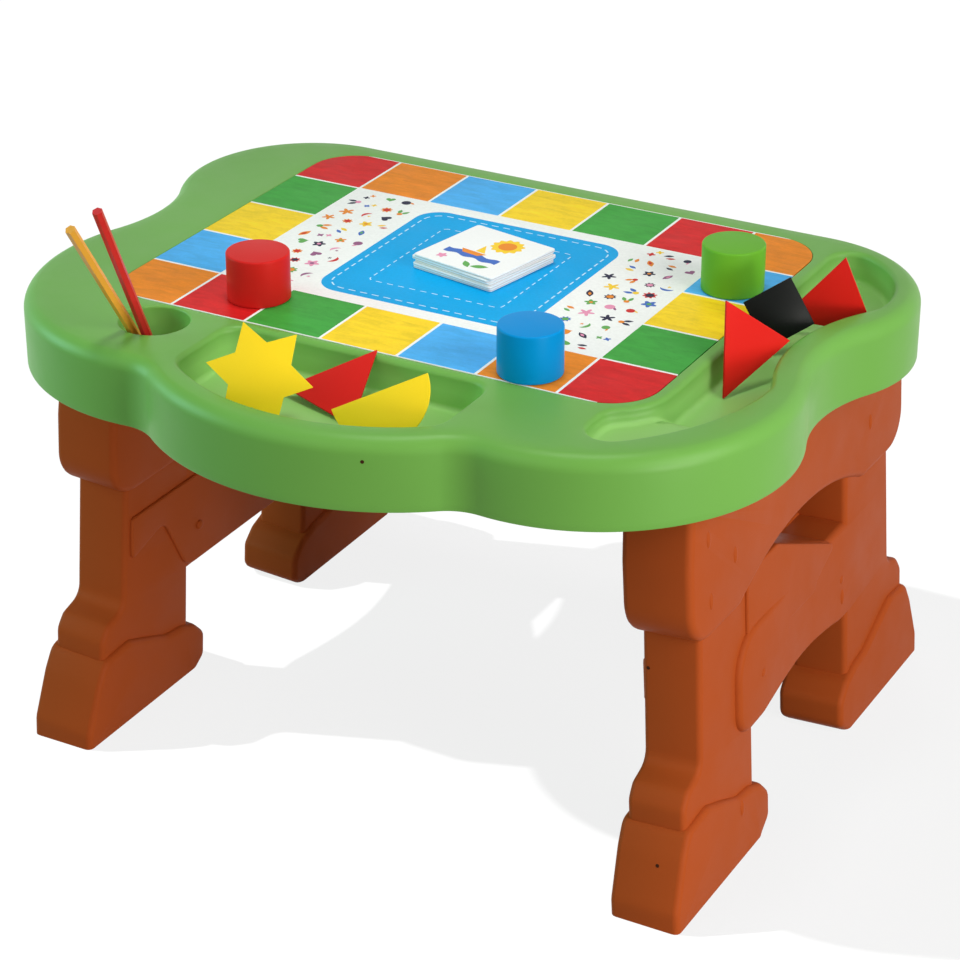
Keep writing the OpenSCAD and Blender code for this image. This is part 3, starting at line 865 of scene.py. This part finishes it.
def underframe():
    """Sockets for the legs' tongues, the ribs that hang them from the deck, and the cross ribs
    under the board's pan, all cut clear of the trough."""
    fall = SEAT_Z * math.tan(LEG_SPLAY)
    half, outer = LEG_REACH - LEG_THICK - fall, LEG_REACH - fall + SOCKET_WALL
    adds = [rib(-half, half, BOARD_AT[1] + 100 * k, BOARD_Z - 17.5, BOARD_Z - 2)
            for k in (-1, 0, 1)]
    cuts = []
    for side in (1, -1):
        adds.append(leaning(side, SOCKET_WALL, 6, SEAT_Z - SOCKET_DEPTH, SEAT_Z + 3.4))
        cuts.append(leaning(side, SOCKET_GAP, 1, SEAT_Z - 40, SEAT_Z))
        adds += [rib(side * (outer - 67), side * outer, LEG_Y + 80 * k, SEAT_Z + 0.2,
                     BOARD_Z - 0.5) for k in range(-2, 3)]
    for loop in filter(is_trough, deck_holes()):
        cuts.append(upright(loop + outward(loop) * 1.5, SEAT_Z + 3.45, DECK_Z + 20))
    mesh = joined("underframe", adds, cuts)
    dress("tabletop_underframe", mesh, [GREEN], "tabletop")


underframe()


# --------------------- blocks
def lathe(at, profile, steps=96):
    """Surface of revolution: each ring is the profile's radius at its own height."""
    u = np.linspace(0, 2 * math.pi, steps, endpoint=False)
    return capped([np.column_stack([at[0] + r * np.cos(u), at[1] + r * np.sin(u),
                                    np.full(steps, at[2] + z)]) for r, z in profile])


def rounded_block(word, at):
    """Cylinder of radius r and height h whose edges are quarter rounds of radius e."""
    r, h, e = 26.0, 40.0, 1.6
    bend = np.radians(np.linspace(0, 90, 6))
    low = [(r - e + e * math.sin(a), e - e * math.cos(a)) for a in bend]
    high = [(r - e + e * math.cos(a), h - e + e * math.sin(a)) for a in bend]
    name = word + "_cylinder"
    make(name + "_skin", lathe((*at, DECK_Z), low + high), [BLOCKS[word]], name,
         [name])


for word, at in (("red", (-128, -97)), ("blue", (133, -120)), ("green", (201, 104))):
    rounded_block(word, at)


# --------------------- board print
def ring_of(points, at, turn, size):
    return rotated(np.asarray(points, float).T * size, turn).T + at


def stamp(skin, curve, at, turn, size, z, ink):
    skin.cap(lifted(counter_clockwise(ring_of(curve, at, turn, size)), z), ink)


def petals(count, deep, steps=36):
    """Closed curve r = 1 - deep * (0.5 - 0.5 cos(count * a)), a flower, star or disc."""
    a = np.linspace(0, 2 * math.pi, steps, endpoint=False)
    r = 1 - deep * (0.5 - 0.5 * np.cos(count * a))
    return np.stack([r * np.cos(a), r * np.sin(a)], 1)


def leaf(steps=24):
    """Pointed oval: y = 0.42 sin(pi t) to both sides of a line of length 2."""
    t = np.linspace(0, 1, steps // 2, endpoint=False)
    up = np.stack([1 - 2 * t, 0.42 * np.sin(math.pi * t)], 1)
    return np.concatenate([up, -up])


def heart(steps=32):
    """x = 16 sin^3 a, y = 13 cos a - 5 cos 2a - 2 cos 3a - cos 4a, over 17."""
    a = np.linspace(0, 2 * math.pi, steps, endpoint=False)
    return np.stack([16 * np.sin(a) ** 3, 13 * np.cos(a) - 5 * np.cos(2 * a)
                     - 2 * np.cos(3 * a) - np.cos(4 * a)], 1)[::-1] / 17


def moon(steps=28):
    """Outer arc of radius 1 joined to an inner one 0.35 by 0.98."""
    a = np.radians(np.linspace(-80, 80, steps // 2))
    outer = np.stack([np.cos(a), np.sin(a)], 1)
    inner = np.stack([0.1 + 0.35 * np.cos(a[::-1]), 0.98 * np.sin(a[::-1])], 1)
    return np.concatenate([outer, inner])


def print_on(name, skin, materials, body):
    make(name, skin, materials, body, merge=0, up=True, outwards=False)


PRINT_Z = DECK_Z + 0.04
DISC = petals(1, 0.0, 20)
MOTIFS = [
    [(petals(5, 0.45), (0, 0), 0, 1.0, 0), (DISC, (0, 0), 0, 0.3, 1)],
    [(leaf(), (0, 0), 0.4, 1.05, 0), (leaf(), (0.1, 0.05), 0.4, 0.5, 1)],
    [(heart(), (0, 0), 0, 0.85, 0)],
    [(petals(5, 0.62), (0, 0), 0.3, 1.05, 0)],
    [(moon(), (0, 0), 0.2, 1.0, 0), (petals(5, 0.6), (-0.35, 0), 0, 0.3, 1)],
    [(leaf(), (-0.45, 0), 1.2, 0.7, 0), (leaf(), (0.45, 0), 1.9, 0.7, 0),
     (DISC, (0, 0.75), 0, 0.4, 1)],
    [(DISC, (0, 0), 0, 0.62, 0), (leaf(), (0.15, 0.8), 0.8, 0.4, 1)],
    [(petals(8, 0.35), (0, 0), 0, 0.9, 0), (DISC, (0, 0), 0, 0.5, 1)],
    [(petals(4, 0.5), (-0.5, 0.25), 0.2, 0.55, 0), (petals(4, 0.5), (0.55, -0.3), 0.6, 0.5, 1)],
    [(leaf(), (-0.3, 0.35), 0.3, 0.6, 0), (leaf(), (0.25, -0.3), 0.5, 0.65, 1)]]


def printed(skin, motif, at, turn, size, inks, z):
    """Adds one motif; later shapes lie a hair above earlier ones."""
    for k, (curve, off, own, scale, ink) in enumerate(motif):
        stamp(skin, curve, at + rotated(off, turn) * size, turn + own, size * scale,
              z + 0.02 * k, inks[ink])


def board_motifs():
    """Rows of small flowers, leaves, hearts, stars and moons on the two white bands."""
    rng = np.random.default_rng(7)
    skin = Skin()
    pairs = [(0, 5), (1, 6), (3, 1), (2, 5), (4, 7), (5, 1), (6, 1), (7, 4), (3, 4), (2, 6),
             (1, 0), (0, 3)]
    band_x, step_x, first_y, step_y = 136.5, 17.5, -98, 19.6
    for side in (-1, 1):
        order = rng.permutation(60)
        for row in range(11):
            count = 4 if row % 2 else 3
            for k in range(count):
                x = side * (band_x + (k - (count - 1) / 2) * step_x) + rng.uniform(-2, 2)
                y = first_y + row * step_y + rng.uniform(-2.5, 2.5)
                pick = int(order[(row * 4 + k) % 60])
                printed(skin, MOTIFS[pick % len(MOTIFS)], BOARD_AT + [x, y],
                        rng.uniform(0, 6.28), rng.uniform(5.4, 7.2),
                        pairs[(pick * 5 + row) % len(pairs)], PRINT_Z)
    print_on("board_motifs", skin, INKS, "play_board")


def dashes(skin, loop, z, length, gap, width):
    """Short strips along a closed line, each bent with it."""
    whole, point = closed_way(loop)
    count = int(whole / (length + gap))
    for k in range(count):
        line = point((k + np.linspace(0, length / (length + gap), 5)) * whole / count)
        way = np.gradient(line, axis=0)
        way /= np.linalg.norm(way, axis=1)[:, None]
        off = np.stack([-way[:, 1], way[:, 0]], 1) * width / 2
        left, right = lifted(line + off, z), lifted(line - off, z)
        skin.add(np.concatenate([right, left]), [[i, i + 1, i + 6, i + 5] for i in range(4)])


def round_box(half, radius, steps=10):
    return filleted([(-half[0], -half[1]), (half[0], -half[1]), (half[0], half[1]),
                     (-half[0], half[1])], radius, steps)


stitches = Skin()
dashes(stitches, round_box((88.5, 89.5), 17) + BOARD_AT, PRINT_Z, 6.5, 4.5, 1.3)
dashes(stitches, round_box((62, 64), 5) + BOARD_AT, PRINT_Z, 5.5, 5.0, 1.0)
print_on("board_stitches", stitches, [STITCH], "play_board")
board_motifs()


# --------------------- cards
def card_plan(k, inset=0.0):
    """Outline, middle and turn of the stack's card k, each a little askew."""
    half = CARD_HALF - inset
    turn = math.radians(-12 + 1.2 * math.sin(math.radians(80 * k)))
    middle = np.array([0, 49]) + rotated((1.2, 0), math.radians(137 * k))
    return ring_of(round_box((half, half), 2.5, 5), middle, turn, 1.0), middle, turn


def card(k):
    """One card: white front and back, tinted core, edges cut back by 0.3 mm."""
    z0, z1, e = DECK_Z + CARD_THICK * (k - 1), DECK_Z + CARD_THICK * k, 0.3
    skin = Skin()
    inner, outer = card_plan(k, e)[0], card_plan(k)[0]
    skin.band([lifted(inner, z0), lifted(outer, z0 + e), lifted(outer, z0 + 0.8)])
    skin.band([lifted(outer, z0 + 0.8), lifted(outer, z0 + 1.5)], ink=1)
    skin.band([lifted(outer, z0 + 1.5), lifted(outer, z1 - e), lifted(inner, z1)])
    skin.cap(lifted(inner, z0))
    skin.cap(lifted(inner, z1))
    word = "card_%d" % k
    make(word + "_skin", skin, [CARD, CARD_TINT], word, [word])


for k in range(1, CARDS + 1):
    card(k)


def card_print():
    """The top card: a sun over a boat on a strip of water, with leaves and a flower below."""
    _, middle, turn = card_plan(CARDS)
    skin = Skin()
    sun, hull = petals(12, 0.18, 72), [(-1, 0), (-0.6, -0.5), (0.6, -0.5), (1, 0)]
    sail, t = [(0, 0.1), (0.75, 0.1), (0, 1.2)], np.linspace(-1, 1, 25)
    wave = np.concatenate([np.stack([t, -0.18 + 0.05 * np.sin(9 * t)], 1),
                           np.stack([t[::-1], 0.14 + 0.05 * np.sin(9 * t[::-1])], 1)])
    shapes = [(sun, (9, 19), 0, 15, 5, 0), (DISC, (9, 19), 0, 8, 1, 1),
              (wave, (-2, -14), 0, 27, 2, 0), (hull, (-6, -6), 0, 13, 1, 1),
              (sail, (-6, -6), 0, 13, 5, 1), (leaf(), (18, -29), 0.5, 8, 6, 0),
              (leaf(), (6, -31), 2.4, 7, 6, 0), (petals(5, 0.4), (-22, -29), 0.2, 5, 4, 0)]
    for curve, off, own, size, ink, layer in shapes:
        stamp(skin, curve, middle + rotated(off, turn), turn + own, size,
              DECK_Z + CARD_THICK * CARDS + 0.03 * (1 + layer), ink)
    print_on("card_5_print", skin, INKS, "card_5")


card_print()


# --------------------- tiles and pencils
def tile(name):
    """The tile's own solid with its long edges eased by a third of a millimetre."""
    mesh = NODES[name].data.copy()
    with opened(mesh) as work:
        bmesh.ops.remove_doubles(work, verts=work.verts, dist=1e-5)
        bmesh.ops.dissolve_limit(work, angle_limit=math.radians(1), verts=work.verts,
                                 edges=work.edges)
        sharp = [e for e in work.edges if e.calc_face_angle(0) > math.radians(60)]
        bmesh.ops.bevel(work, geom=sharp, offset=0.35 * MM, segments=2, profile=0.5,
                        affect="EDGES")
    word = name.split("_")[0]
    dress(name + "_skin", mesh, [TILES[word]], name, [name])


def lacquered(node, lacquer, core):
    """Paint for a pencil or its lead. The lacquer covers the top millimetre and, on the
    barrel, everything at the flats' distance from the axis, |(p - top) x axis|; the rest is
    bare. The axis is the solid's longest spread."""
    co = np.unique(np.round(points_of(NODES[node].data), 5), axis=0)
    axis = np.linalg.svd(co - co.mean(0), full_matrices=False)[2][0]
    axis *= np.sign(axis[2])
    along = co @ axis
    top = co[along > along.max() - 0.5 * MM].mean(0)
    dip, barrel = 1.0, 3.55

    def paint(tree, where):
        off = vector_node(tree, "SUBTRACT", where, top)
        far = vector_node(tree, "LENGTH", vector_node(tree, "CROSS_PRODUCT", off, axis),
                          output="Value")
        fall = vector_node(tree, "DOT_PRODUCT", off, axis, "Value")
        bare = math_node(tree, "MULTIPLY", math_node(tree, "LESS_THAN", fall, -dip * MM),
                         math_node(tree, "LESS_THAN", far, barrel * MM))
        return mix_colour(tree, bare, lacquer, core)
    return paint


def clad(name, material):
    """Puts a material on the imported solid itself."""
    slots = NODES[name].data.materials
    if len(slots):
        for k in range(len(slots)):
            slots[k] = material
    else:
        slots.append(material)


for name in ("yellow_star", "yellow_half_disc", "red_triangle_front", "red_triangle_tall",
             "red_triangle_back", "black_square"):
    tile(name)
clad("play_board", BOARD)
for name, coat in (("yellow_pencil", srgb(238, 168, 60)), ("red_pencil", srgb(208, 36, 40))):
    for node, core in ((name, srgb(232, 200, 150)), (name + "_lead", srgb(70, 62, 58))):
        clad(node, finish_of(node.replace("_", " "), coat, 0.3, 0.04, 0.05, 0.02, shine=0.3,
                             paint=lacquered(node, coat, core)))

# --------------------- camera, light and floor
view_az, view_el = math.radians(28.81), math.radians(26.84)
camera = put("camera", bpy.data.cameras.new("camera"))
camera.location = (1.0698, -1.9033, 1.3396)
camera.rotation_euler = (math.pi / 2 - view_el, 0, view_az)
camera.data.lens = 108.4
camera.data.sensor_width = 36
bpy.context.scene.camera = camera


def shining(way):
    """Turn of a lamp that shines along way: its tilt acos(-z / |way|), then its bearing."""
    way = np.array(way)
    return (math.acos(-way[2] / np.linalg.norm(way)), 0, math.atan2(way[1], way[0]) - math.pi / 2)


def lamp(name, kind, power, **settings):
    light = bpy.data.lights.new(name, kind)
    light.energy = power
    for word, value in settings.items():
        setattr(light, word, value)
    return put(name, light)


AIM = np.array((0, 0, 0.3))
for name, at, size, power, colour in (("key", (2.35, -0.5, 1.45), 1.6, 35, (1, 0.98, 0.94)),
                                      ("low", (2.3, -1.0, 0.36), 0.7, 22, (1, 0.97, 0.92)),
                                      ("front", (-0.4, -2.0, 1.6), 1.6, 5, (1, 1, 1)),
                                      ("fill", (-2.2, -0.9, 0.9), 1.2, 28, (0.45, 1, 0.85))):
    disc = lamp(name, "AREA", power, shape="DISK", size=size, color=colour)
    disc.location, disc.rotation_euler = at, shining(AIM - at)
over = lamp("over", "SPOT", 122, shadow_soft_size=0.35, spot_size=math.radians(21),
            spot_blend=0.35)
over.location = (0, -0.02, 2.8)
sun = lamp("sun", "SUN", 15, angle=math.radians(0.8))
sun.rotation_euler = shining((461, 168, -413))


def seen_by_viewer(tree):
    """1 for camera, glossy and transmission rays, and 0 for the rest."""
    rays = tree.nodes.new("ShaderNodeLightPath")
    return math_node(tree, "MAXIMUM", rays.outputs["Is Camera Ray"], math_node(
        tree, "MAXIMUM", rays.outputs["Is Glossy Ray"], rays.outputs["Is Transmission Ray"]))


world = bpy.data.worlds.new("studio")
world.use_nodes = True
bpy.context.scene.world = world
sky = world.node_tree
link(sky, mix_colour(sky, seen_by_viewer(sky), (0.22, 0.22, 0.225, 1), (1, 1, 1, 1)),
     sky.nodes["Background"].inputs[0])

ground = bpy.data.meshes.new("floor")
ground.from_pydata([(-9, -9, 0), (9, -9, 0), (9, 9, 0), (-9, 9, 0)], [], [(0, 1, 2, 3)])
floor = put("floor", ground)
paving = bpy.data.materials.new("pale floor")
paving.use_nodes = True
tree = paving.node_tree
base = tree.nodes["Principled BSDF"]
base.inputs["Base Color"].default_value = (0.05, 0.05, 0.05, 1)
base.inputs["Specular IOR Level"].default_value = 0
base.inputs["Roughness"].default_value = 0.9
glow = tree.nodes.new("ShaderNodeEmission")
link(tree, math_node(tree, "MULTIPLY", seen_by_viewer(tree), 0.845), glow.inputs[1])
both = tree.nodes.new("ShaderNodeAddShader")
link(tree, base.outputs[0], both.inputs[0])
link(tree, glow.outputs[0], both.inputs[1])
link(tree, both.outputs[0], tree.nodes["Material Output"].inputs["Surface"])
ground.materials.append(paving)
# the sun draws the shadow on the floor alone; the other lamps light the table
paved = bpy.data.collections.new("floor only")
paved.objects.link(floor)
sun.light_linking.receiver_collection = paved

bpy.context.scene.view_settings.view_transform = "Standard"
